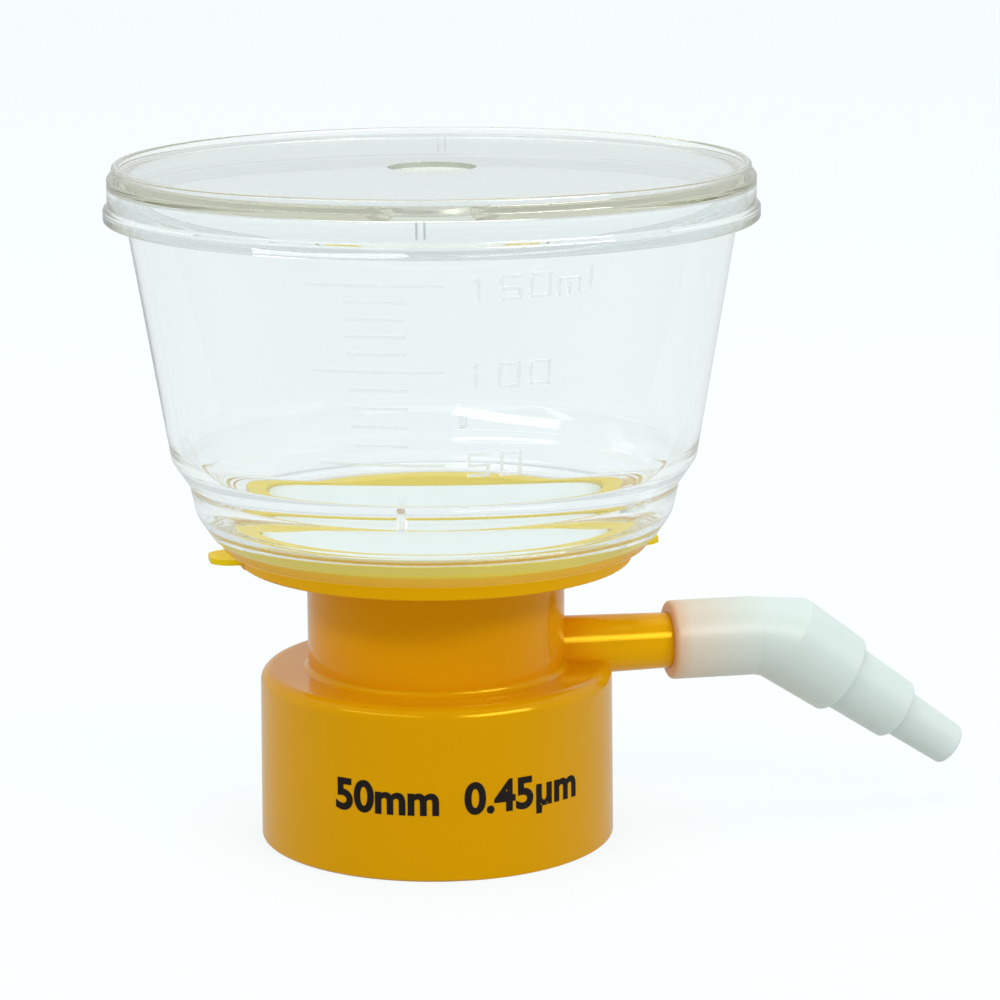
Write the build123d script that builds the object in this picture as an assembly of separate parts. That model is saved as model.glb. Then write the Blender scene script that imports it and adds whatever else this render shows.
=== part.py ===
from build123d import *
import os
from math import cos, radians, sin

# Bottle-top vacuum filtration unit, 150 ml, millimetres.
#
# A clear cup is welded onto the drum of a yellow base. The drum carries the membrane on a
# ribbed seat and drains it through a spout. Below it, the neck has the side port that air
# is drawn out through, with an angled stepped hose adapter slipped over it, and the
# threaded skirt screws onto a 45 mm bottle. A loose lid with a central hole rests on the
# cup's rim. Skirt, neck and drum are one moulding, made here as three pieces face to face.
#
# Frame: the origin is on the bottle axis at the skirt's mouth, +Z goes up through the cup,
# and +X runs out along the vacuum port.

# Threaded skirt
SKIRT_WALL = 2.3
SKIRT_DRAFT = 0.2
SKIRT_H = 24.2
SKIRT_TOP_ROUND = 1.8
SKIRT_FOOT_ROUND = 0.3
ROOF_T = 3.4
MOUTH_RELIEF = 0.4
MOUTH_H = 3.5
THREAD_ROOT_R = 22.7
THREAD_DEPTH = 1.1
THREAD_PITCH = 4.0
THREAD_TURNS = 1.75
THREAD_FOOT_W = 2.4
THREAD_CREST_W = 1.0
THREAD_SUNK = 0.3

# Neck, drain spout and gasket
NECK_R = 18.1
NECK_WALL = 1.5
NECK_H = 15.7
NECK_ROUND = 0.8
SPOUT_WALL = 1.5
SPOUT_BORE_R = 3.0
SPOUT_DROP = 6.8
GASKET_T = 1.6
GASKET_W = 5.2

# Drum under the cup, with its two ears
DRUM_R = 27.6
DRUM_H = 6.5
DRUM_LAND = 2.3
DRUM_ROUND = 0.3
EAR_OUT = 4.6
EAR_W = 7.0
EAR_T = 1.5

# Membrane and the ribbed seat that carries it
MEMBRANE_T = 0.2
DRUM_EDGE_W = 3.0
SEAT_DEPTH = 1.8
SEAL_LAND_W = 1.8
DRAIN_DEPTH = 1.2
DRAIN_GAP = 2.2
DRAIN_RING_W = 1.0
DRAIN_CHANNELS = 8
DRAIN_CHANNEL_W = 1.6

# Vacuum port
PORT_RISE = 1.6
PORT_ROOT_R = 4.3
PORT_TIP_R = 3.75
PORT_LENGTH = 25.9
PORT_BORE_R = 2.4
PORT_END_GAP = 0.5

# Clear cup
CUP_WALL = 1.5
SOCKET_WALL = 2.2
SOCKET_H = 1.5
SOCKET_ROUND = 0.3
BOWL_FOOT_W = 1.2
BOWL_FOOT_ROUND = 1.0
BOWL_BEVEL_W = 2.2
BOWL_BEVEL_H = 3.3
BOWL_ROUND = 3.0
BOWL_FLARE = 0.9
BOWL_WALL_H = 4.2
STEP_W = 2.4
STEP_RISE = 3.6
STEP_ROUND = 1.2
RIM_FLARE = 6.2
RIM_RISE = 38.0
RIM_ROUND = 0.3
THROAT_WALL = 1.55
THROAT_SET_IN = 0.3
THROAT_ROUND = 14.0
WELL_WALL = 1.3
WELL_SET_IN = 1.2
WELL_ROUND = 5.0
FLOOR_TAPER = 0.4
FLOOR_SET_IN = 0.4
FLOOR_ROUND = 1.0
FLOOR_LIP = 0.2
STACK_RIBS = 2
STACK_RIB_W = 1.2
STACK_RIB_SET_IN = 0.3
STACK_RIB_FIRST = -107.0

# Lid
LID_PLATE_T = 1.8
LID_HOLE_R = 6.15
LID_RIM_H = 0.9
LID_RIM_W = 0.9
LID_SHOULDER = 0.7
LID_ROUND = 0.4
LID_SLACK = 0.4
LID_SKIRT_WALL = 1.3
LID_SKIRT_H = 7.6
LID_BEAD_OUT = 0.6
LID_BEAD_H = 1.7
LID_RIBS = 4
LID_RIB_W = 1.4
LID_RIB_H = 2.4
LID_RIB_FIRST = -102.0

# Hose adapter: a sleeve over the port, then three tapered steps on a bent-down leg
SLEEVE_WALL = 1.35
SLEEVE_GRIP = 10.4
ELBOW_PAST = 6.1
ELBOW_DEG = 34.9
ELBOW_BLEND = 4.0
ELBOW_SET_IN = 0.9
STEP_BASE_R = (6.5, 4.95, 3.5)
STEP_END_R = (6.05, 4.55, 3.1)
STEP_LENGTH = (10.6, 10.3, 10.1)
ADAPTER_ROUND = 0.7
ADAPTER_BORE_R = 1.9

# Clearances between pieces
WELD_GAP = 0.1
MEMBRANE_GAP = 0.1
GASKET_GAP = 0.1
SWIVEL_GAP = 0.05
LID_RIB_GAP = 0.1

# Heights and radii that follow from the sizes above
roof_z = SKIRT_H - ROOF_T
drum_z = SKIRT_H + NECK_H
drum_top_z = drum_z + DRUM_H
seat_z = drum_top_z - SEAT_DEPTH
drain_z = seat_z - DRAIN_DEPTH
cup_z = drum_z + DRUM_LAND
bowl_foot_z = cup_z + SOCKET_H
bowl_z = bowl_foot_z + BOWL_BEVEL_H
step_z = bowl_z + BOWL_WALL_H
shoulder_z = step_z + STEP_RISE
cup_rim_z = shoulder_z + RIM_RISE
lid_z = cup_rim_z + LID_PLATE_T + LID_RIM_H - LID_SKIRT_H
plate_top_z = cup_rim_z + LID_PLATE_T
lid_top_z = plate_top_z + LID_RIM_H
skirt_foot_r = THREAD_ROOT_R + SKIRT_WALL
skirt_top_r = skirt_foot_r - SKIRT_DRAFT
mouth_r = THREAD_ROOT_R + MOUTH_RELIEF
neck_bore_r = NECK_R - NECK_WALL
collar_z = SKIRT_H + NECK_ROUND
spout_r = SPOUT_BORE_R + SPOUT_WALL
spout_tip_z = roof_z - SPOUT_DROP
port_z = SKIRT_H + PORT_RISE
port_tip_x = NECK_R + PORT_LENGTH
seat_r = DRUM_R - DRUM_EDGE_W
cup_bore_r = DRUM_R + WELD_GAP
socket_r = cup_bore_r + SOCKET_WALL
bowl_foot_r = socket_r + BOWL_FOOT_W
bowl_r = bowl_foot_r + BOWL_BEVEL_W
step_r = bowl_r + BOWL_FLARE
shoulder_r = step_r + STEP_W
rim_r = shoulder_r + RIM_FLARE
well_r = bowl_r - WELL_WALL
lid_inner_r = rim_r + LID_SLACK
lid_skirt_r = lid_inner_r + LID_SKIRT_WALL
sleeve_r = PORT_ROOT_R + SLEEVE_WALL
sleeve_x = port_tip_x - SLEEVE_GRIP
elbow_x = port_tip_x + ELBOW_PAST


def turned(outline):
    """Revolve a closed outline of (radius, height, rounding) corners about the bottle axis."""
    corners = [(r, 0, z) for r, z, _ in outline]
    rounding = [round_r for _, _, round_r in outline]
    return revolve(make_face(FilletPolyline(*corners, radius=rounding, close=True)), Axis.Z)


def tube(outer_r, inner_r, low_z, high_z):
    """A plain ring about the bottle axis."""
    corners = [(inner_r, low_z), (outer_r, low_z), (outer_r, high_z), (inner_r, high_z)]
    return turned([(r, z, 0) for r, z in corners])


def cone_along(start, direction, radius_a, radius_b, length):
    """A round taper that starts at a point and runs along a direction."""
    place = Plane(origin=start, z_dir=direction)
    return place * Cone(radius_a, radius_b, length, align=(Align.CENTER, Align.CENTER, Align.MIN))


def bar_along(start, direction, radius, length):
    """A round bar that starts at a point and runs along a direction."""
    place = Plane(origin=start, z_dir=direction)
    return place * Cylinder(radius, length, align=(Align.CENTER, Align.CENTER, Align.MIN))


def turn_to(angle, piece):
    """Turn a piece about the bottle axis by an angle in degrees."""
    return Rot(0, 0, angle) * piece


def port_radius(x):
    """Outer radius of the tapered port at a place along X."""
    share = (x - NECK_R) / PORT_LENGTH
    return PORT_ROOT_R + share * (PORT_TIP_R - PORT_ROOT_R)


def make_thread():
    """The ridge inside the skirt: a trapezoid swept along a helix, sunk a little into the wall."""
    first_z = MOUTH_H + THREAD_FOOT_W
    path = Helix(THREAD_PITCH, THREAD_PITCH * THREAD_TURNS, THREAD_ROOT_R, center=(0, 0, first_z))
    foot_half = THREAD_FOOT_W / 2
    crest_half = THREAD_CREST_W / 2
    crest_r = THREAD_ROOT_R - THREAD_DEPTH
    sunk_r = THREAD_ROOT_R + THREAD_SUNK
    corners = [
        (sunk_r, 0, first_z - foot_half),
        (THREAD_ROOT_R, 0, first_z - foot_half),
        (crest_r, 0, first_z - crest_half),
        (crest_r, 0, first_z + crest_half),
        (THREAD_ROOT_R, 0, first_z + foot_half),
        (sunk_r, 0, first_z + foot_half),
    ]
    return sweep(make_face(Polyline(*corners, close=True)), path=path, is_frenet=True)


def make_support_rings():
    """Rings that hold the membrane up, parted by channels that drain in to the spout."""
    rings = []
    ring_r = seat_r - SEAL_LAND_W - DRAIN_GAP
    while ring_r - DRAIN_RING_W > SPOUT_BORE_R:
        rings.append(tube(ring_r, ring_r - DRAIN_RING_W, seat_z - DRAIN_DEPTH, seat_z))
        ring_r -= DRAIN_RING_W + DRAIN_GAP
    channel = Box(seat_r, DRAIN_CHANNEL_W, DRAIN_DEPTH, align=(Align.MIN, Align.CENTER, Align.MAX))
    step = 360 / DRAIN_CHANNELS
    channel = Pos(0, 0, seat_z) * channel
    channels = [turn_to((index + 0.5) * step, channel) for index in range(DRAIN_CHANNELS)]
    return [ring - channels for ring in rings]


def make_ear(angle):
    """A flat tab with a round nose, level with the drum's underside."""
    centre_x = DRUM_R + EAR_OUT - EAR_W / 2
    flat = (Align.CENTER, Align.CENTER, Align.MIN)
    tab = Box(centre_x - NECK_R, EAR_W, EAR_T, align=(Align.MIN, Align.CENTER, Align.MIN))
    nose = Cylinder(EAR_W / 2, EAR_T, align=flat)
    ear = Pos(NECK_R, 0, drum_z) * tab + Pos(centre_x, 0, drum_z) * nose
    return turn_to(angle, ear)


def make_port():
    """The tapered vacuum port, from well inside the neck out to its tip, not yet bored."""
    start_x = neck_bore_r - NECK_WALL
    port_start = (start_x, 0, port_z)
    return cone_along(port_start, (1, 0, 0), port_radius(start_x), PORT_TIP_R, port_tip_x - start_x)


def make_skirt():
    """Threaded skirt with its roof, up to the short collar that the neck stands on."""
    body = turned([
        (mouth_r, 0, 0),
        (skirt_foot_r, 0, SKIRT_FOOT_ROUND),
        (skirt_top_r, SKIRT_H, SKIRT_TOP_ROUND),
        (NECK_R, SKIRT_H, NECK_ROUND),
        (NECK_R, collar_z, 0),
        (neck_bore_r, collar_z, 0),
        (neck_bore_r, roof_z, 0),
        (THREAD_ROOT_R, roof_z, 0),
        (THREAD_ROOT_R, MOUTH_H, 0),
        (mouth_r, MOUTH_H, 0),
    ])
    # Turned half round, so that the port's cut isn't on the seam of the revolve
    return turn_to(180, body) - make_port() + make_thread()


def make_neck():
    """Neck tube between the skirt and the drum, with the vacuum port bored through its wall."""
    bore_start = (spout_r + NECK_WALL, 0, port_z)
    bore = bar_along(bore_start, (1, 0, 0), PORT_BORE_R, port_tip_x - bore_start[0])
    inside = Cylinder(neck_bore_r, drum_z, align=(Align.CENTER, Align.CENTER, Align.MIN))
    neck = tube(NECK_R, neck_bore_r, collar_z, drum_z)
    return turn_to(180, neck) + (make_port() - turn_to(180, inside)) - bore


def make_drum():
    """Drum under the cup: ribbed membrane seat, drain spout and the two ears."""
    body = turned([
        (spout_r, drum_z, NECK_ROUND),
        (DRUM_R, drum_z, DRUM_ROUND),
        (DRUM_R, drum_top_z, DRUM_ROUND),
        (seat_r, drum_top_z, DRUM_ROUND),
        (seat_r, seat_z, 0),
        (seat_r - SEAL_LAND_W, seat_z, 0),
        (seat_r - SEAL_LAND_W, drain_z, 0),
        (SPOUT_BORE_R, drain_z, DRUM_ROUND),
        (SPOUT_BORE_R, spout_tip_z, 0),
        (spout_r, spout_tip_z, DRUM_ROUND),
    ])
    return body + make_support_rings() + [make_ear(0), make_ear(180)]


def make_gasket():
    """Flat ring under the skirt's roof that the bottle's rim is pressed against."""
    outer_r = THREAD_ROOT_R - GASKET_GAP
    return tube(outer_r, outer_r - GASKET_W, roof_z - GASKET_T, roof_z)


def make_membrane():
    """Thin filter disc lying on the ribbed seat."""
    radius = seat_r - MEMBRANE_GAP
    disc = Cylinder(radius, MEMBRANE_T, align=(Align.CENTER, Align.CENTER, Align.MIN))
    return Pos(0, 0, seat_z) * disc


def make_cup():
    """Clear stepped cup, open below where it is welded over the drum."""
    cup = turned([
        (cup_bore_r, cup_z, 0),
        (socket_r, cup_z, SOCKET_ROUND),
        (socket_r, bowl_foot_z, SOCKET_ROUND),
        (bowl_foot_r, bowl_foot_z, BOWL_FOOT_ROUND),
        (bowl_r, bowl_z, BOWL_ROUND),
        (step_r, step_z, STEP_ROUND),
        (shoulder_r, shoulder_z, STEP_ROUND),
        (rim_r, cup_rim_z, RIM_ROUND),
        (rim_r - CUP_WALL, cup_rim_z, RIM_ROUND),
        (shoulder_r - THROAT_WALL, shoulder_z - THROAT_SET_IN, THROAT_ROUND),
        (well_r, step_z - WELL_SET_IN, WELL_ROUND),
        (well_r - FLOOR_TAPER, drum_top_z - FLOOR_SET_IN, FLOOR_ROUND),
        (cup_bore_r, drum_top_z + FLOOR_LIP, 0),
    ])
    # Small upright ribs across the step keep stacked cups from jamming
    rib_length = STEP_W + CUP_WALL / 2
    rib = Box(rib_length, STACK_RIB_W, STEP_RISE, align=(Align.MAX, Align.CENTER, Align.MIN))
    for index in range(STACK_RIBS):
        angle = STACK_RIB_FIRST + index * 360 / STACK_RIBS
        cup = cup + turn_to(angle, Pos(shoulder_r - STACK_RIB_SET_IN, 0, step_z) * rib)
    return cup


def make_lid():
    """Loose lid: a plate with a raised rim, a skirt with a bead, and a central hole."""
    rim_out_r = lid_skirt_r - LID_SHOULDER
    bead_r = lid_skirt_r + LID_BEAD_OUT
    bead_top_z = lid_z + LID_BEAD_H
    rib_low_z = cup_rim_z - LID_RIB_H
    lid = turned([
        (LID_HOLE_R, cup_rim_z, 0),
        (lid_inner_r, cup_rim_z, LID_ROUND),
        (lid_inner_r, rib_low_z, 0),
        (lid_inner_r + LID_SHOULDER, lid_z, 0),
        (bead_r, lid_z, LID_ROUND),
        (bead_r, bead_top_z, LID_ROUND),
        (lid_skirt_r, bead_top_z + LID_ROUND, LID_ROUND),
        (lid_skirt_r, plate_top_z - LID_RIM_H, LID_ROUND),
        (rim_out_r, plate_top_z, LID_ROUND),
        (rim_out_r, lid_top_z, LID_ROUND),
        (rim_out_r - LID_RIM_W, lid_top_z, LID_ROUND),
        (rim_out_r - LID_RIM_W, plate_top_z, 0),
        (LID_HOLE_R + LID_ROUND, plate_top_z, 0),
        (LID_HOLE_R, plate_top_z - LID_ROUND, 0),
    ])
    # Ribs inside the skirt centre the lid on the cup's rim and let air past
    rib_depth = LID_SLACK - LID_RIB_GAP
    rib_length = rib_depth + LID_SKIRT_WALL / 2
    rib = Box(rib_length, LID_RIB_W, LID_RIB_H, align=(Align.MIN, Align.CENTER, Align.MIN))
    for index in range(LID_RIBS):
        angle = LID_RIB_FIRST + index * 360 / LID_RIBS
        lid = lid + turn_to(angle, Pos(lid_inner_r - rib_depth, 0, rib_low_z) * rib)
    return lid


def make_adapter():
    """Angled stepped hose adapter that slips over the port and turns on it."""
    elbow = Vector(elbow_x, 0, port_z)
    along_x = Vector(1, 0, 0)
    leg_dir = Vector(cos(radians(ELBOW_DEG)), 0, -sin(radians(ELBOW_DEG)))
    mouth = Vector(sleeve_x, 0, port_z)
    sleeve_end = elbow - along_x * ELBOW_BLEND
    sleeve = bar_along(mouth, along_x, sleeve_r, (sleeve_end - mouth).length)
    sleeve = fillet(sleeve.edges().filter_by(GeomType.CIRCLE).sort_by(Axis.X)[0], ADAPTER_ROUND)
    bend = loft([
        Plane(origin=sleeve_end, z_dir=along_x) * Circle(sleeve_r),
        Plane(origin=elbow + leg_dir * ELBOW_SET_IN, z_dir=leg_dir) * Circle(STEP_BASE_R[0]),
    ])
    body = sleeve + bend

    # Three tapered steps, each with a rounded far edge
    start = elbow + leg_dir * ELBOW_SET_IN
    for base_r, end_r, length in zip(STEP_BASE_R, STEP_END_R, STEP_LENGTH):
        step = cone_along(start, leg_dir, base_r, end_r, length)
        step = fillet(step.edges().filter_by(GeomType.CIRCLE).sort_by(Axis.X)[-1], ADAPTER_ROUND)
        body = body + step
        start = start + leg_dir * length

    # Socket that matches the port's taper, then a channel round the bend to the tip
    socket_end_x = port_tip_x + PORT_END_GAP
    socket_mouth_r = port_radius(sleeve_x) + SWIVEL_GAP
    socket_end_r = port_radius(socket_end_x) + SWIVEL_GAP
    socket = cone_along(mouth, along_x, socket_mouth_r, socket_end_r, socket_end_x - sleeve_x)
    channel_start = Vector(port_tip_x, 0, port_z)
    channel = bar_along(channel_start, along_x, ADAPTER_BORE_R, (elbow - channel_start).length)
    leg_channel = bar_along(elbow, leg_dir, ADAPTER_BORE_R, (start - elbow).length)
    turn = Pos(elbow) * Sphere(ADAPTER_BORE_R)
    return body - socket - channel - leg_channel - turn


os.makedirs("parts", exist_ok=True)
pieces = {
    "threaded_skirt": make_skirt(),
    "port_neck": make_neck(),
    "filter_drum": make_drum(),
    "bottle_gasket": make_gasket(),
    "membrane": make_membrane(),
    "filter_cup": make_cup(),
    "lid": make_lid(),
    "hose_adapter": make_adapter(),
}
for name, piece in pieces.items():
    export_step(piece, f"parts/{name}.step")
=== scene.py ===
from math import cos, pi, radians, sin, tan

import bmesh
import bpy
from mathutils import Matrix, Vector


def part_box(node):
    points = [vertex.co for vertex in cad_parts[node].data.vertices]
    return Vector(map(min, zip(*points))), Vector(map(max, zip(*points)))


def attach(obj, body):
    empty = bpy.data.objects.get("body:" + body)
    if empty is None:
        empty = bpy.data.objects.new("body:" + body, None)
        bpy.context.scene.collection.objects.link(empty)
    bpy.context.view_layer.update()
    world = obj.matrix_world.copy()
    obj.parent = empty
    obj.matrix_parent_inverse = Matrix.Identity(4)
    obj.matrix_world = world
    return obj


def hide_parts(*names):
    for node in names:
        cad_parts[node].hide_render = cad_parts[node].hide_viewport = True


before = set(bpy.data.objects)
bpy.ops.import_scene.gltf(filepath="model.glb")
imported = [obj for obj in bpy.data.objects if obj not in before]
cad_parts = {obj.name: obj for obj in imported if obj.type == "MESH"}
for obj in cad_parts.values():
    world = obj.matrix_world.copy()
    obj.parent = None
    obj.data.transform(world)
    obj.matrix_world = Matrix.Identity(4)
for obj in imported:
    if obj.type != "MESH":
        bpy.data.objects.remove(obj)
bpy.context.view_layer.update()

# Threaded skirt: the foot of one injection moulding of opaque yellow polystyrene, which
# forms the neck, the port and the drum too. It is polished outside, and the thread inside
# is left by a core that is unscrewed from it.
MM = 0.001


def set_inputs(node, values):
    """Sets unlinked inputs of a node, each by its name or its number."""
    for socket, value in values.items():
        node.inputs[socket].default_value = value


def add_node(tree, kind, inputs=None, **settings):
    """A new node in a node tree, with its settings made and its unlinked inputs set."""
    node = tree.nodes.new(kind)
    for name, value in settings.items():
        setattr(node, name, value)
    set_inputs(node, inputs or {})
    return node


def link(tree, source, socket, target, target_socket):
    """One link between two nodes, whose sockets are given by name or by number."""
    tree.links.new(source.outputs[socket], target.inputs[target_socket])


def new_material(name):
    """A material with a Principled BSDF at its defaults."""
    material = bpy.data.materials.new(name)
    material.use_nodes = True
    return material


def shader_of(material):
    """The Principled BSDF of a material."""
    return material.node_tree.nodes["Principled BSDF"]


def finish_with(piece, material):
    """Gives every face of a piece one material."""
    piece.data.materials.clear()
    piece.data.materials.append(material)


def moulded_grain_group():
    """Faint colour drift and the soft unevenness of a moulded plastic face."""
    group = bpy.data.node_groups.new("moulded_grain", "ShaderNodeTree")
    for name, way, kind in (
            ("Colour", "INPUT", "NodeSocketColor"), ("Drift", "INPUT", "NodeSocketFloat"),
            ("Ripple", "INPUT", "NodeSocketFloat"), ("Colour", "OUTPUT", "NodeSocketColor"),
            ("Normal", "OUTPUT", "NodeSocketVector")):
        group.interface.new_socket(name, in_out=way, socket_type=kind)
    inner = add_node(group, "NodeGroupInput")
    outer = add_node(group, "NodeGroupOutput")
    place = add_node(group, "ShaderNodeTexCoord")
    clouds = add_node(group, "ShaderNodeTexNoise", {"Scale": 60, "Detail": 3})
    centred = add_node(group, "ShaderNodeMath", {1: 0.5}, operation="SUBTRACT")
    share = add_node(group, "ShaderNodeMath", {2: 1.0}, operation="MULTIPLY_ADD")
    tone = add_node(group, "ShaderNodeHueSaturation")
    waves = add_node(group, "ShaderNodeTexNoise", {"Scale": 220, "Detail": 1})
    bump = add_node(group, "ShaderNodeBump", {"Distance": 0.05 * MM})
    link(group, place, "Object", clouds, "Vector")
    link(group, clouds, "Fac", centred, 0)
    link(group, centred, "Value", share, 0)
    link(group, inner, "Drift", share, 1)
    link(group, share, "Value", tone, "Value")
    link(group, inner, "Colour", tone, "Color")
    link(group, tone, "Color", outer, "Colour")
    link(group, place, "Object", waves, "Vector")
    link(group, inner, "Ripple", bump, "Strength")
    link(group, waves, "Fac", bump, "Height")
    link(group, bump, "Normal", outer, "Normal")
    return group


moulded_grain = moulded_grain_group()


def moulded_plastic(name, colour, roughness, drift, ripple):
    """An opaque moulded plastic that carries the shared grain."""
    material = new_material(name)
    tree = material.node_tree
    shader = shader_of(material)
    grain = add_node(
        tree, "ShaderNodeGroup", {"Colour": (*colour, 1), "Drift": drift, "Ripple": ripple},
        node_tree=moulded_grain, name="grain")
    link(tree, grain, "Colour", shader, "Base Color")
    link(tree, grain, "Normal", shader, "Normal")
    set_inputs(shader, {"Roughness": roughness})
    return material


def yellow_polystyrene(name, colour, roughness, shine):
    """Opaque yellow polystyrene, whose shine takes on some of its own colour."""
    material = moulded_plastic(name, colour, roughness, drift=0.05, ripple=0.2)
    set_inputs(shader_of(material), {
        "Specular IOR Level": shine, "Specular Tint": (1.0, 0.8, 0.05, 1)})
    return material


yellow_plastic = yellow_polystyrene(
    "yellow_polystyrene", (0.75, 0.345, 0.0005), roughness=0.13, shine=0.45)
finish_with(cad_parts["threaded_skirt"], yellow_plastic)

# Size marking: a thin film of black ink, printed round the front of the skirt. The words
# are laid flat, cut into narrow strips and wrapped on the skirt, which tapers a little.
SKIRT_HEIGHT = 24.2
SKIRT_TAPER = 0.2
INK_LIFT = 0.01
INK_FILM = 0.03
INK_CENTRE = -92.0
INK_BASE_Z = 9.6
INK_LENGTH = 36.4
INK_CAP_HEIGHT = 4.4
CAP_SHARE_OF_FONT = 0.73
INK_BOLDNESS = 0.2
INK_STRIP = 0.7
SHARP_FROM = radians(30)


def box_of(node):
    """A CAD node's lowest and highest corners in mm, to a tenth."""
    return [[round(value / MM, 1) for value in corner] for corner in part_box(node)]


SKIRT_RADIUS = box_of("threaded_skirt")[1][0]
INK_RADIUS = SKIRT_RADIUS - 0.05


def flat_marking():
    """The words of the marking, laid flat, of the right length and cut into narrow strips."""
    text = bpy.data.curves.new("size_marking", "FONT")
    text.body = "50mm  0.45\u00b5m"
    text.align_x = "CENTER"
    text.size = INK_CAP_HEIGHT / CAP_SHARE_OF_FONT * MM
    text.offset = INK_BOLDNESS * MM
    text.resolution_u = 5
    holder = bpy.data.objects.new("size_marking_flat", text)
    bm = bmesh.new()
    bm.from_mesh(bpy.data.meshes.new_from_object(holder))
    bpy.data.objects.remove(holder)
    reach = max(abs(vert.co.x) for vert in bm.verts)
    bmesh.ops.scale(bm, vec=(INK_LENGTH * MM / 2 / reach, 1, 1), verts=bm.verts)
    bmesh.ops.remove_doubles(bm, verts=bm.verts, dist=1e-6)
    strips = round(INK_LENGTH / 2 / INK_STRIP)
    for strip in range(-strips, strips + 1):
        bmesh.ops.bisect_plane(
            bm, geom=bm.verts[:] + bm.edges[:] + bm.faces[:],
            plane_co=(strip * INK_STRIP * MM, 0, 0), plane_no=(1, 0, 0))
    return bm


def wrap_on_skirt(bm):
    """Bends a flat print round the skirt and gives it the thickness of the ink."""
    for vert in bm.verts:
        bearing = radians(INK_CENTRE) + vert.co.x / (INK_RADIUS * MM)
        height = vert.co.y + INK_BASE_Z * MM
        radius = SKIRT_RADIUS - SKIRT_TAPER * height / (SKIRT_HEIGHT * MM) + INK_LIFT
        vert.co = Vector((radius * MM * cos(bearing), radius * MM * sin(bearing), height))
    grown = bmesh.ops.extrude_face_region(bm, geom=bm.faces[:])["geom"]
    outer = [item for item in grown if isinstance(item, bmesh.types.BMVert)]
    growth = 1 + INK_FILM / INK_RADIUS
    bmesh.ops.scale(bm, vec=(growth, growth, 1), verts=outer)


def new_piece(name, bm):
    """Makes a mesh piece at the origin, with smooth faces that break at sharp edges."""
    bmesh.ops.recalc_face_normals(bm, faces=bm.faces)
    for face in bm.faces:
        face.smooth = True
    for edge in bm.edges:
        edge.smooth = edge.is_manifold and edge.calc_face_angle() < SHARP_FROM
    mesh = bpy.data.meshes.new(name)
    bm.to_mesh(mesh)
    bm.free()
    piece = bpy.data.objects.new(name, mesh)
    bpy.context.scene.collection.objects.link(piece)
    even = piece.modifiers.new("even_shading", "WEIGHTED_NORMAL")
    even.keep_sharp = True
    return piece


marking_mesh = flat_marking()
wrap_on_skirt(marking_mesh)
size_marking = new_piece("size_marking", marking_mesh)
black_ink = moulded_plastic(
    "black_ink", (0.012, 0.008, 0.006), roughness=0.5, drift=0.0, ripple=0.2)
set_inputs(shader_of(black_ink), {"Specular IOR Level": 0.1})
finish_with(size_marking, black_ink)
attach(size_marking, "filter_unit")

# Neck and vacuum port: the same moulding as the skirt, with painted shade and light in its
# colour.
# The neck is painted darker and more orange as shade under the drum, and the port lighter as
# light on it.
PORT_ROOT_X = 18.0
PORT_PAINTED_LIGHT_X = 22.0


def tone_along(material, axis, start, end, stops):
    """A colour that changes along one object axis, from one place in mm to another."""
    tree = material.node_tree
    place = add_node(tree, "ShaderNodeTexCoord")
    axes = add_node(tree, "ShaderNodeSeparateXYZ")
    span = add_node(
        tree, "ShaderNodeMapRange", {"From Min": start * MM, "From Max": end * MM})
    tone = add_node(tree, "ShaderNodeValToRGB")
    ramp = tone.color_ramp.elements
    ramp[0].color = (*stops[0][1], 1)
    ramp[1].color = (*stops[-1][1], 1)
    for position, colour in stops[1:-1]:
        ramp.new(position).color = (*colour, 1)
    link(tree, place, "Object", axes, "Vector")
    link(tree, axes, axis, span, "Value")
    link(tree, span, "Result", tone, "Fac")
    return tone


def colour_with(material, source, socket):
    """Lets a node's output set the colour of a moulded plastic."""
    link(material.node_tree, source, socket, material.node_tree.nodes["grain"], "Colour")


# Painted shade on the neck and painted light on the port: one colour that lightens along X.
neck_shade_port_light_plastic = yellow_polystyrene(
    "yellow_polystyrene_painted_shade_and_light", (0.78, 0.33, 0.0005), roughness=0.13, shine=0.45)
painted_shade_and_light_tone = tone_along(neck_shade_port_light_plastic, "X", PORT_ROOT_X, PORT_PAINTED_LIGHT_X, (
    (0, (0.79, 0.325, 0.0005)), (1, (0.92, 0.46, 0.002))))
colour_with(neck_shade_port_light_plastic, painted_shade_and_light_tone, "Color")
finish_with(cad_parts["port_neck"], neck_shade_port_light_plastic)

# Drum: the top of the same moulding, satin where the cup is welded on, with painted light: it
# is painted lemon toward the top, as light from above, and on its ears. Its ears are thin tabs,
# cut from below and at their tips.
DRUM_RADIUS, DRUM_TOP_Z = box_of("filter_drum")[1][1:]
LAND_FOOT_Z = 42.3
LAND_TOP_Z = 45.0
EAR_ROOT_X = 27.4
EAR_LIGHT_X = 28.4
EAR_UNDERSIDE_Z = 40.6
EAR_TIP_RADIUS = 31.85
EAR_CUTTER_FOOT_Z = 39.0
EAR_CUTTER_HEAD_Z = 43.0
EAR_CUTTER_BORE = DRUM_RADIUS + 0.02
EAR_CUTTER_RADIUS = 40.0
TURN_STEPS = 256
CORNER_STEPS = 5
SATIN_YELLOW = (0.82, 0.39, 0.0005)
# Lemon of the ears: painted light.
PAINTED_EAR_LIGHT = (0.86, 0.60, 0.01)
MIX_FACTOR, MIX_FIRST_COLOUR, MIX_SECOND_COLOUR, MIX_RESULT_COLOUR = 0, 6, 7, 2


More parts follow.
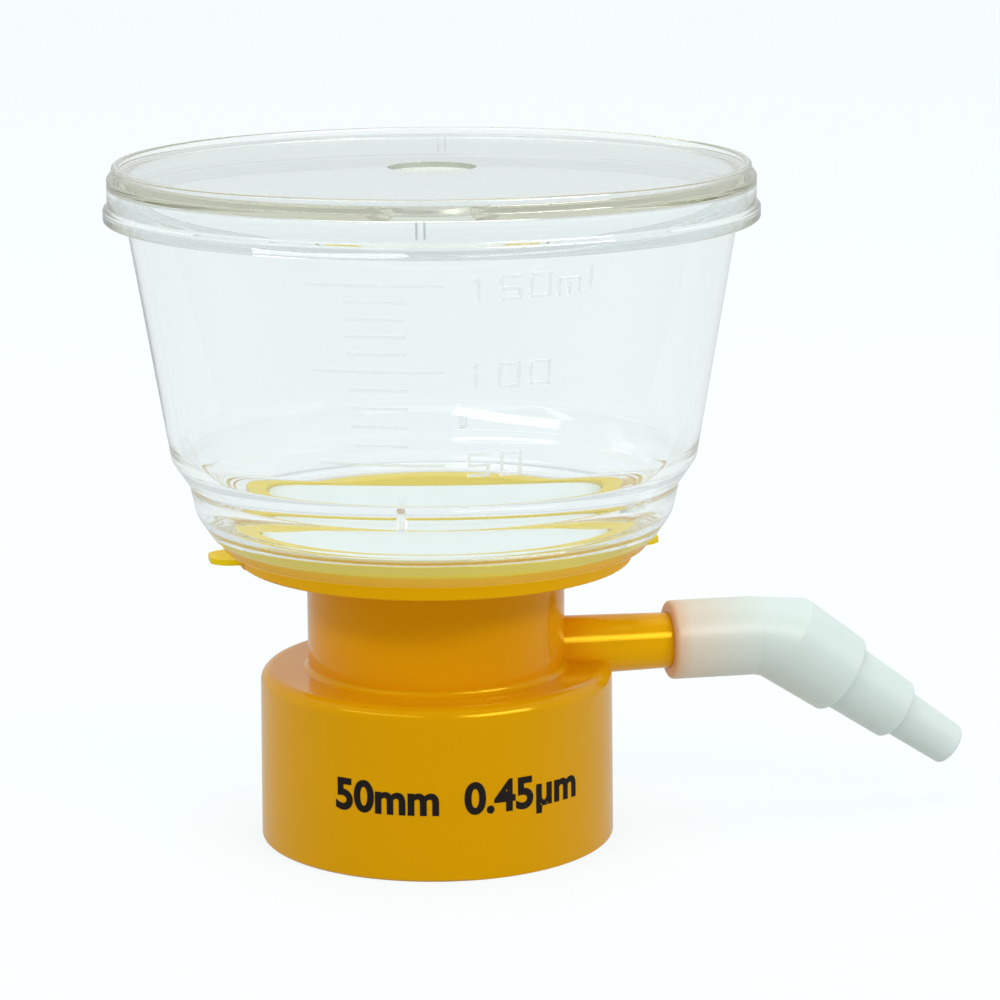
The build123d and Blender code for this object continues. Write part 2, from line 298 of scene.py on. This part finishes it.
def drum_plastic():
    """Satin yellow polystyrene with painted light: lighter toward the top of the drum and on
    its ears.
    """
    material = yellow_polystyrene(
        "satin_yellow_polystyrene_painted_light", SATIN_YELLOW, roughness=0.45, shine=0.3)
    tree = material.node_tree
    # Painted light: the colour turns lemon toward the top of the land, as light from above.
    painted_top_light_tone = tone_along(material, "Z", LAND_FOOT_Z, LAND_TOP_Z, (
        (0, SATIN_YELLOW), (0.35, (0.82, 0.45, 0.004)), (0.85, (0.82, 0.60, 0.03)),
        (1, (0.80, 0.62, 0.10))))
    place = add_node(tree, "ShaderNodeTexCoord")
    axes = add_node(tree, "ShaderNodeSeparateXYZ")
    side = add_node(tree, "ShaderNodeMath", operation="ABSOLUTE")
    span = add_node(
        tree, "ShaderNodeMapRange", {"From Min": EAR_ROOT_X * MM, "From Max": EAR_LIGHT_X * MM})
    # Painted light on the ears: their colour is mixed toward lemon.
    painted_ear_light_mix = add_node(
        tree, "ShaderNodeMix", {MIX_SECOND_COLOUR: (*PAINTED_EAR_LIGHT, 1)}, data_type="RGBA")
    link(tree, place, "Object", axes, "Vector")
    link(tree, axes, "X", side, 0)
    link(tree, side, "Value", span, "Value")
    link(tree, span, "Result", painted_ear_light_mix, MIX_FACTOR)
    link(tree, painted_top_light_tone, "Color", painted_ear_light_mix, MIX_FIRST_COLOUR)
    colour_with(material, painted_ear_light_mix, MIX_RESULT_COLOUR)
    return material


def rounded_outline(bm, corners):
    """A closed outline of (radius, height, rounding) corners in mm, each rounded by a bevel."""
    points = [Vector((r * MM, 0, z * MM)) for r, z, _ in corners]
    verts = [bm.verts.new(point) for point in points]
    for first, second in zip(verts, verts[1:] + verts[:1]):
        bm.edges.new((first, second))
    for index, (_, _, rounding) in enumerate(corners):
        if rounding:
            back = points[index - 1] - points[index]
            ahead = points[(index + 1) % len(points)] - points[index]
            reach = rounding * MM / tan(back.angle(ahead) / 2)
            bmesh.ops.bevel(
                bm, geom=[verts[index]], offset=reach, offset_type="OFFSET", affect="VERTICES",
                segments=CORNER_STEPS, profile=0.5, material=-1)


def turned_piece(corners):
    """A closed solid of revolution about the bottle axis."""
    bm = bmesh.new()
    rounded_outline(bm, corners)
    bmesh.ops.spin(
        bm, geom=bm.verts[:] + bm.edges[:], cent=(0, 0, 0), axis=(0, 0, 1),
        angle=2 * pi, steps=TURN_STEPS, use_merge=True)
    bmesh.ops.remove_doubles(bm, verts=bm.verts, dist=1e-7)
    return bm


def trimmed_copy(node, cutter):
    """A merged copy of a CAD node's mesh with a cutter's shape taken away."""
    copy = bpy.data.objects.new("trimmed_copy", node.data.copy())
    bpy.context.scene.collection.objects.link(copy)
    trim = copy.modifiers.new("trim", "BOOLEAN")
    trim.object = cutter
    trim.solver = "EXACT"
    bm = bmesh.new()
    bm.from_object(copy, bpy.context.evaluated_depsgraph_get())
    bpy.data.objects.remove(copy)
    bmesh.ops.remove_doubles(bm, verts=bm.verts, dist=1e-7)
    return bm


ear_cutter = new_piece("ear_cutter", turned_piece([
    (EAR_CUTTER_BORE, EAR_CUTTER_FOOT_Z, 0),
    (EAR_CUTTER_BORE, EAR_UNDERSIDE_Z, 0),
    (EAR_TIP_RADIUS, EAR_UNDERSIDE_Z, 0),
    (EAR_TIP_RADIUS, EAR_CUTTER_HEAD_Z, 0),
    (EAR_CUTTER_RADIUS, EAR_CUTTER_HEAD_Z, 0),
    (EAR_CUTTER_RADIUS, EAR_CUTTER_FOOT_Z, 0),
]))
drum_mesh = trimmed_copy(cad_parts["filter_drum"], ear_cutter)
bpy.data.objects.remove(ear_cutter)
drum = new_piece("drum", drum_mesh)
finish_with(drum, drum_plastic())
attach(drum, "filter_unit")
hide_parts("filter_drum")

# Bottle gasket: a flat ring of soft white silicone pushed up under the skirt's roof,
# where the bottle's rim presses on it.
gasket_silicone = moulded_plastic(
    "white_silicone", (0.80, 0.80, 0.76), roughness=0.55, drift=0.05, ripple=0.6)
finish_with(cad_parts["bottle_gasket"], gasket_silicone)

# Membrane: a thin disc of white microporous film, cut with a die and sealed by its edge
# to the ledge round the ribbed seat.
membrane_film = moulded_plastic(
    "microporous_film", (0.80, 0.84, 0.82), roughness=0.75, drift=0.02, ripple=0.8)
finish_with(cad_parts["membrane"], membrane_film)

# Cup: a stepped bowl of clear polystyrene, injection moulded and welded over the drum,
# with the loose lid on its rim.
(_, _, CUP_FOOT_Z), (_, _, RIM_Z) = box_of("filter_cup")
CUP_BORE = DRUM_RADIUS - 0.02
CUP_FLOOR_Z = DRUM_TOP_Z + 0.2
SOCKET_RADIUS = 29.9
SOCKET_TOP_Z = CUP_FOOT_Z + 1.5
BOWL_FOOT_RADIUS = SOCKET_RADIUS + 1.2
BOWL_RADIUS = 33.3
BOWL_Z = CUP_FOOT_Z + 4.8
STEP_RADIUS = 34.2
STEP_Z = CUP_FOOT_Z + 9.0
SHOULDER_RADIUS = 36.6
SHOULDER_Z = CUP_FOOT_Z + 12.6
RIM_RADIUS = 42.8
RIM_WALL = 1.5
RIM_GAP = 0.05
INNER_SHOULDER_RADIUS = 35.05
INNER_SHOULDER_Z = CUP_FOOT_Z + 12.3
INNER_BOWL_RADIUS = 32.0
INNER_BOWL_Z = CUP_FOOT_Z + 7.8
FLOOR_RADIUS = 31.6
FLOOR_BEND_Z = CUP_FOOT_Z + 3.8


def clear_plastic(name, tint, roughness):
    """Clear polystyrene, faintly tinted at its faces and more so in its depth."""
    material = new_material(name)
    tree = material.node_tree
    shader = shader_of(material)
    output = tree.nodes["Material Output"]
    set_inputs(shader, {
        "Base Color": (*tint, 1), "Roughness": roughness, "IOR": 1.59,
        "Transmission Weight": 1.0})
    depth = add_node(
        tree, "ShaderNodeVolumeAbsorption", {"Color": (0.875, 0.868, 0.80, 1), "Density": 38})
    rays = add_node(tree, "ShaderNodeLightPath")
    soft_rays = add_node(tree, "ShaderNodeMath", operation="MAXIMUM")
    open_air = add_node(tree, "ShaderNodeBsdfTransparent", {"Color": (*tint, 1)})
    mixed = add_node(tree, "ShaderNodeMixShader")
    link(tree, depth, "Volume", output, "Volume")
    link(tree, rays, "Is Shadow Ray", soft_rays, 0)
    link(tree, rays, "Is Diffuse Ray", soft_rays, 1)
    link(tree, soft_rays, "Value", mixed, 0)
    link(tree, shader, "BSDF", mixed, 1)
    link(tree, open_air, "BSDF", mixed, 2)
    link(tree, mixed, "Shader", output, "Surface")
    return material


cup = new_piece("clear_cup", turned_piece([
    (CUP_BORE, CUP_FOOT_Z, 0),
    (SOCKET_RADIUS, CUP_FOOT_Z, 0.3),
    (SOCKET_RADIUS, SOCKET_TOP_Z, 0.3),
    (BOWL_FOOT_RADIUS, SOCKET_TOP_Z, 1.0),
    (BOWL_RADIUS, BOWL_Z, 3.0),
    (STEP_RADIUS, STEP_Z, 1.2),
    (SHOULDER_RADIUS, SHOULDER_Z, 1.2),
    (RIM_RADIUS, RIM_Z - RIM_GAP, 0.3),
    (RIM_RADIUS - RIM_WALL, RIM_Z - RIM_GAP, 0.3),
    (INNER_SHOULDER_RADIUS, INNER_SHOULDER_Z, 14.0),
    (INNER_BOWL_RADIUS, INNER_BOWL_Z, 5.0),
    (FLOOR_RADIUS, FLOOR_BEND_Z, 1.0),
    (CUP_BORE, CUP_FLOOR_Z, 0),
]))
clear_polystyrene = clear_plastic("clear_polystyrene", (0.965, 0.98, 0.982), roughness=0.0)
finish_with(cup, clear_polystyrene)
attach(cup, "filter_unit")
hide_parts("filter_cup")

# Stacking ribs: two small upright ribs on the cup's step, moulded with it, that keep
# stacked cups from jamming. Their faces are frosted.
STACK_RIB_BEARINGS = (-107, 73)
STACK_RIB_WIDTH = 1.2
STACK_RIB_IN = STEP_RADIUS + 0.14
STACK_RIB_OUT = SHOULDER_RADIUS - 0.15
STACK_RIB_FOOT_Z = STEP_Z + 0.1
STACK_RIB_TOP_Z = SHOULDER_Z - 0.3
STACK_RIB_ROUND = 0.12


def turned_by(degrees):
    """A turn about the bottle axis."""
    return Matrix.Rotation(radians(degrees), 4, "Z")


def upright_rib(bm, bearing, width, outline):
    """A small upright rib: an outline of (radius, height) in mm made solid across its width."""
    corners = [bm.verts.new((r * MM, -width * MM / 2, z * MM)) for r, z in outline]
    side = bm.faces.new(corners)
    grown = bmesh.ops.extrude_face_region(bm, geom=[side])["geom"]
    far_side = [item for item in grown if isinstance(item, bmesh.types.BMVert)]
    bmesh.ops.translate(bm, verts=far_side, vec=(0, width * MM, 0))
    bmesh.ops.transform(bm, matrix=turned_by(bearing), verts=corners + far_side)


def round_edges(bm, radius):
    """Rounds every edge of a small shape by a radius in mm."""
    bmesh.ops.bevel(
        bm, geom=bm.edges[:], offset=radius * MM, offset_type="OFFSET", affect="EDGES",
        segments=2, profile=0.5, material=-1)


stack_rib_mesh = bmesh.new()
for bearing in STACK_RIB_BEARINGS:
    upright_rib(stack_rib_mesh, bearing, STACK_RIB_WIDTH, [
        (STACK_RIB_IN, STACK_RIB_FOOT_Z),
        (STACK_RIB_OUT, STACK_RIB_FOOT_Z),
        (STACK_RIB_OUT, STACK_RIB_TOP_Z),
    ])
round_edges(stack_rib_mesh, STACK_RIB_ROUND)
stack_ribs = new_piece("stack_ribs", stack_rib_mesh)
frosted_polystyrene = clear_plastic("frosted_polystyrene", (0.92, 0.94, 0.94), roughness=0.22)
finish_with(stack_ribs, frosted_polystyrene)
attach(stack_ribs, "filter_unit")

# Graduations: fine lines and squared numerals raised on the cup's outer wall, moulded
# with it. The long lines stand at 50, 100 and 150 ml, with four short ones between each.
LINE_WIDTH = 0.3
LONG_LINE = (-123, -98)
SHORT_LINE = (-116, -105)
LONG_LINE_EVERY = 50
STROKE_CLEAR = 0.02
STROKE_RELIEF = 0.24
STROKE_WIDTH = 0.36
STROKE_STEP = 1.4
NUMERAL_WIDTH = 2.5
NUMERAL_HEIGHT = 2.9
MILLI_WIDTH = 2.9
ZERO = ((0, 0, 0, 1), (1, 0, 1, 1), (0.12, 1, 0.88, 1), (0.12, 0, 0.88, 0))
ONE = ((0.5, 0, 0.5, 1), (0.25, 0.9, 0.38, 0.9))
FIVE = (
    (0, 1, 1, 1), (0, 0.56, 0, 0.88), (0, 0.46, 1, 0.46), (1, 0.1, 1, 0.36), (0, 0, 1, 0))
MILLI = ((0, 0, 0, 0.66), (0.5, 0, 0.5, 0.56), (1, 0, 1, 0.66), (0.12, 0.66, 0.88, 0.66))
LITRE = ((0.5, 0, 0.5, 1),)


def cup_wall_radius(z):
    """Outer radius of the cup's tapered wall at a height, both in mm."""
    rise = (z - SHOULDER_Z) / (RIM_Z - SHOULDER_Z)
    return SHOULDER_RADIUS + rise * (RIM_RADIUS - SHOULDER_RADIUS)


def raised_stroke(bm, low_z, high_z, start, end):
    """One raised stroke on the cup's wall, from one angle to another in degrees."""
    section = []
    for z, relief in ((low_z, 0), (low_z, STROKE_RELIEF), (high_z, STROKE_RELIEF), (high_z, 0)):
        radius = cup_wall_radius(z) + STROKE_CLEAR + relief
        section.append(bm.verts.new(turned_by(start) @ Vector((radius * MM, 0, z * MM))))
    edges = [bm.edges.new(pair) for pair in zip(section, section[1:] + section[:1])]
    bmesh.ops.spin(
        bm, geom=section + edges, cent=(0, 0, 0), axis=(0, 0, 1), angle=radians(end - start),
        steps=max(1, round((end - start) / STROKE_STEP)), use_merge=False)


def squared_numeral(bm, strokes, centre, low_z, wide=NUMERAL_WIDTH):
    """A numeral of straight strokes, each given as two corners in shares of its box."""
    per_degree = pi / 180 * cup_wall_radius(low_z + NUMERAL_HEIGHT / 2)
    half = STROKE_WIDTH / 2
    for left, low, right, top in strokes:
        raised_stroke(
            bm, low_z + low * NUMERAL_HEIGHT - half, low_z + top * NUMERAL_HEIGHT + half,
            centre + ((left - 0.5) * wide - half) / per_degree,
            centre + ((right - 0.5) * wide + half) / per_degree)


graduation_mesh = bmesh.new()
for volume, line_z in (
        (150, 84.24), (140, 82.0), (130, 79.75), (120, 77.47), (110, 75.16), (100, 72.83),
        (90, 70.40), (80, 67.94), (70, 65.44), (60, 62.91), (50, 60.34)):
    start, end = SHORT_LINE if volume % LONG_LINE_EVERY else LONG_LINE
    raised_stroke(graduation_mesh, line_z - LINE_WIDTH / 2, line_z + LINE_WIDTH / 2, start, end)
for numeral, centre, low_z in (
        (ONE, -92.0, 82.2), (FIVE, -86.2, 82.4), (ZERO, -80.7, 82.5), (LITRE, -71.0, 83.0),
        (ONE, -92.2, 70.8), (ZERO, -85.9, 70.8), (ZERO, -79.9, 70.9),
        (FIVE, -91.3, 58.9), (ZERO, -84.8, 58.9)):
    squared_numeral(graduation_mesh, numeral, centre, low_z)
squared_numeral(graduation_mesh, MILLI, -75.2, 82.6, wide=MILLI_WIDTH)
open_edges = [edge for edge in graduation_mesh.edges if edge.is_boundary]
bmesh.ops.holes_fill(graduation_mesh, edges=open_edges, sides=4)
graduations = new_piece("graduations", graduation_mesh)
finish_with(graduations, frosted_polystyrene)
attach(graduations, "filter_unit")

# Lid: a loose moulding of the same clear polystyrene that rests on the cup's rim, with a
# raised edge, a beaded skirt, and a hole in the middle for a pipette.
(_, _, LID_FOOT_Z), (BEAD_RADIUS, _, EDGE_TOP_Z) = box_of("lid")
HOLE_RADIUS = 6.15
SEAT_RADIUS = RIM_RADIUS + 0.4
SEAT_END_Z = RIM_Z - 2.4
MOUTH_RADIUS = BEAD_RADIUS - 1.2
BEAD_TOP_Z = LID_FOOT_Z + 1.7
LID_RADIUS = BEAD_RADIUS - 0.6
LID_FLANK_Z = LID_FOOT_Z + 2.1
LID_FLANK_TOP_Z = EDGE_TOP_Z - 1.8
PLATE_TOP_Z = EDGE_TOP_Z - 0.9
EDGE_RADIUS = BEAD_RADIUS - 1.3
EDGE_WALL = 0.9
LID_ROUND = 0.4
HOLE_ROUND = 0.05

lid = new_piece("clear_lid", turned_piece([
    (HOLE_RADIUS, RIM_Z, 0),
    (SEAT_RADIUS, RIM_Z, LID_ROUND),
    (SEAT_RADIUS, SEAT_END_Z, 0),
    (MOUTH_RADIUS, LID_FOOT_Z, 0),
    (BEAD_RADIUS, LID_FOOT_Z, LID_ROUND),
    (BEAD_RADIUS, BEAD_TOP_Z, LID_ROUND),
    (LID_RADIUS, LID_FLANK_Z, LID_ROUND),
    (LID_RADIUS, LID_FLANK_TOP_Z, LID_ROUND),
    (EDGE_RADIUS, PLATE_TOP_Z, LID_ROUND),
    (EDGE_RADIUS, EDGE_TOP_Z, LID_ROUND),
    (EDGE_RADIUS - EDGE_WALL, EDGE_TOP_Z, LID_ROUND),
    (EDGE_RADIUS - EDGE_WALL, PLATE_TOP_Z, 0),
    (HOLE_RADIUS, PLATE_TOP_Z, HOLE_ROUND),
]))
finish_with(lid, clear_polystyrene)
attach(lid, "filter_unit")
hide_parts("lid")

# Lid ribs: four short upright ribs inside the lid's skirt, moulded with it, that centre it on
# the cup. Only the two long edges of a rib catch the light, so only these are made, tinted grey
# as painted shade for the dark lines they show.
LID_RIB_FIRST = -102
LID_RIB_HALF_ANGLE = 0.68
LID_RIB_EDGE = 0.3
LID_RIB_IN = RIM_RADIUS + 0.1
LID_RIB_OUT = SEAT_RADIUS - 0.05
LID_RIB_FOOT_Z = RIM_Z - 2.4
LID_RIB_TOP_Z = RIM_Z - 0.1
LID_RIB_ROUND = 0.05

lid_rib_mesh = bmesh.new()
for quarter in range(4):
    for side in (-LID_RIB_HALF_ANGLE, LID_RIB_HALF_ANGLE):
        upright_rib(lid_rib_mesh, LID_RIB_FIRST + 90 * quarter + side, LID_RIB_EDGE, [
            (LID_RIB_IN, LID_RIB_FOOT_Z),
            (LID_RIB_OUT, LID_RIB_FOOT_Z),
            (LID_RIB_OUT, LID_RIB_TOP_Z),
            (LID_RIB_IN, LID_RIB_TOP_Z),
        ])
round_edges(lid_rib_mesh, LID_RIB_ROUND)
lid_ribs = new_piece("lid_ribs", lid_rib_mesh)
# Grey tint: painted shade on the edges of the lid's ribs and of its hole.
painted_shade_polystyrene = clear_plastic("painted_shade_polystyrene", (0.66, 0.68, 0.62), roughness=0.3)
finish_with(lid_ribs, painted_shade_polystyrene)
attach(lid_ribs, "filter_unit")

# Edge of the lid's hole: a thin matt ring of grey clear plastic round the top of the hole's
# wall, painted shade for the dark edge that the hole shows. It is part of the lid and stands
# just inside the bore.
HOLE_EDGE_IN = HOLE_RADIUS - 0.10
HOLE_EDGE_OUT = HOLE_RADIUS - 0.03
HOLE_EDGE_FOOT_Z = PLATE_TOP_Z - 0.75
HOLE_EDGE_TOP_Z = PLATE_TOP_Z - 0.05

hole_edge_shade = new_piece("lid_hole_painted_shade", turned_piece([
    (HOLE_EDGE_IN, HOLE_EDGE_FOOT_Z, 0),
    (HOLE_EDGE_OUT, HOLE_EDGE_FOOT_Z, 0),
    (HOLE_EDGE_OUT, HOLE_EDGE_TOP_Z, 0),
    (HOLE_EDGE_IN, HOLE_EDGE_TOP_Z, 0),
]))
finish_with(hole_edge_shade, painted_shade_polystyrene)
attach(hole_edge_shade, "filter_unit")

# Hose adapter: milky polyethylene, moulded with three steps for tubing of different bore,
# and pushed over the vacuum port. Where the yellow port is inside it, it looks warmer.
SLEEVE_FOOT_X = box_of("hose_adapter")[0][0] - 0.2
MILKY_FROM_X = 48.0
MILKY = (0.72, 0.80, 0.76)

milky_polyethylene = moulded_plastic(
    "milky_polyethylene", MILKY, roughness=0.38, drift=0.02, ripple=0.3)
set_inputs(shader_of(milky_polyethylene), {
    "Specular IOR Level": 0.35, "Subsurface Weight": 0.6,
    "Subsurface Radius": (1.0, 1.0, 1.0), "Subsurface Scale": 2.0 * MM})
milky_tone = tone_along(milky_polyethylene, "X", SLEEVE_FOOT_X, MILKY_FROM_X, (
    (0, (0.80, 0.50, 0.30)), (0.18, (0.80, 0.70, 0.57)), (0.6, (0.74, 0.76, 0.68)),
    (1, MILKY)))
colour_with(milky_polyethylene, milky_tone, "Color")
finish_with(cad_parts["hose_adapter"], milky_polyethylene)

# Bench: a plain pale sheet that the unit stands on. It glows a little, and more where it
# is seen straight on or through the clear cup.
PALE_LIGHT = (0.94, 0.99, 1, 1)
BENCH_RADIUS = 12
BENCH_GLOW = 0.46
BENCH_GLOW_SEEN = 0.36

bench_mesh = bmesh.new()
bmesh.ops.create_circle(bench_mesh, cap_ends=True, segments=96, radius=BENCH_RADIUS)
bench = new_piece("bench", bench_mesh)
bench.modifiers.clear()
bench_paint = new_material("pale_bench")
bench_tree = bench_paint.node_tree
set_inputs(shader_of(bench_paint), {
    "Base Color": (0.15, 0.155, 0.155, 1), "Roughness": 0.9,
    "Emission Color": PALE_LIGHT})
bench_rays = add_node(bench_tree, "ShaderNodeLightPath")
bench_seen = add_node(bench_tree, "ShaderNodeMath", operation="MAXIMUM")
bench_glow = add_node(
    bench_tree, "ShaderNodeMath", {1: BENCH_GLOW_SEEN, 2: BENCH_GLOW}, operation="MULTIPLY_ADD")
link(bench_tree, bench_rays, "Is Camera Ray", bench_seen, 0)
link(bench_tree, bench_rays, "Is Transmission Ray", bench_seen, 1)
link(bench_tree, bench_seen, "Value", bench_glow, 0)
link(bench_tree, bench_glow, "Value", shader_of(bench_paint), "Emission Strength")
finish_with(bench, bench_paint)


# Studio light: soft boxes at the left, at the right and overhead, and one more that only
# gives glints. The room round them is pale, and dimmer toward the front.
def soft_box(name, place, aim, width, height, watts):
    """A rectangular area light that faces a point."""
    light = bpy.data.lights.new(name, "AREA")
    light.shape = "RECTANGLE"
    light.size = width
    light.size_y = height
    light.energy = watts
    holder = bpy.data.objects.new(name, light)
    holder.location = place
    holder.rotation_euler = (Vector(aim) - Vector(place)).to_track_quat("-Z", "Y").to_euler()
    bpy.context.scene.collection.objects.link(holder)
    return holder


soft_box("left_box", (-0.78, -0.62, 0.9), (0, 0, 0.05), width=1.2, height=0.2, watts=4.2)
right_box = soft_box(
    "right_box", (0.65, -0.85, 0.75), (0, 0, 0.03), width=0.8, height=0.25, watts=4.5)
right_box.visible_transmission = False
soft_box("top_box", (0.0, 0.1, 1.0), (0, 0, 0), width=0.6, height=0.6, watts=2)
glint_box = soft_box(
    "glint_box", (0.6, -0.9, 0.75), (0, 0, 0.03), width=1.0, height=0.5, watts=14)
glint_box.visible_diffuse = False
glint_box.visible_transmission = False

room = bpy.data.worlds.new("room")
room.use_nodes = True
backdrop = room.node_tree.nodes["Background"]
set_inputs(backdrop, {"Color": PALE_LIGHT})
direction = add_node(room.node_tree, "ShaderNodeTexCoord")
depth_way = add_node(room.node_tree, "ShaderNodeSeparateXYZ")
falloff = add_node(room.node_tree, "ShaderNodeMapRange", {
    "From Min": -0.7, "From Max": 0.1, "To Min": 0.45, "To Max": 0.8})
link(room.node_tree, direction, "Generated", depth_way, "Vector")
link(room.node_tree, depth_way, "Y", falloff, "Value")
link(room.node_tree, falloff, "Result", backdrop, "Strength")
bpy.context.scene.world = room
bpy.context.scene.view_settings.view_transform = "Standard"
bpy.context.scene.cycles.max_bounces = 100
bpy.context.scene.cycles.glossy_bounces = 100
bpy.context.scene.cycles.transmission_bounces = 100

# Camera: a little above the lid, turned ten degrees off the port's square view and tilted
# down at the cup. Its place is in metres, its sensor and lens are in millimetres.
CAMERA_DISTANCE = 0.480
CAMERA_HEIGHT = 0.15028
CAMERA_TURN = radians(10)
CAMERA_PITCH = 0.21045
CAMERA_YAW = 0.01897
CAMERA_ROLL = -0.00525
SENSOR_WIDTH = 36
FOCAL_LENGTH = 126.19

camera_data = bpy.data.cameras.new("camera")
camera_data.sensor_width = SENSOR_WIDTH
camera_data.lens = FOCAL_LENGTH
camera = bpy.data.objects.new("camera", camera_data)
away = Vector((
    sin(CAMERA_YAW) * cos(CAMERA_PITCH), cos(CAMERA_YAW) * cos(CAMERA_PITCH),
    -sin(CAMERA_PITCH)))
right = Vector((cos(CAMERA_YAW), -sin(CAMERA_YAW), 0))
up = right.cross(away)
tilted_right = cos(CAMERA_ROLL) * right + sin(CAMERA_ROLL) * up
tilted_up = -sin(CAMERA_ROLL) * right + cos(CAMERA_ROLL) * up
facing = Matrix((tilted_right, tilted_up, -away)).transposed().to_4x4()
place = Matrix.Translation((0, -CAMERA_DISTANCE, CAMERA_HEIGHT))
camera.matrix_world = Matrix.Rotation(-CAMERA_TURN, 4, "Z") @ place @ facing
bpy.context.scene.collection.objects.link(camera)
bpy.context.scene.camera = camera
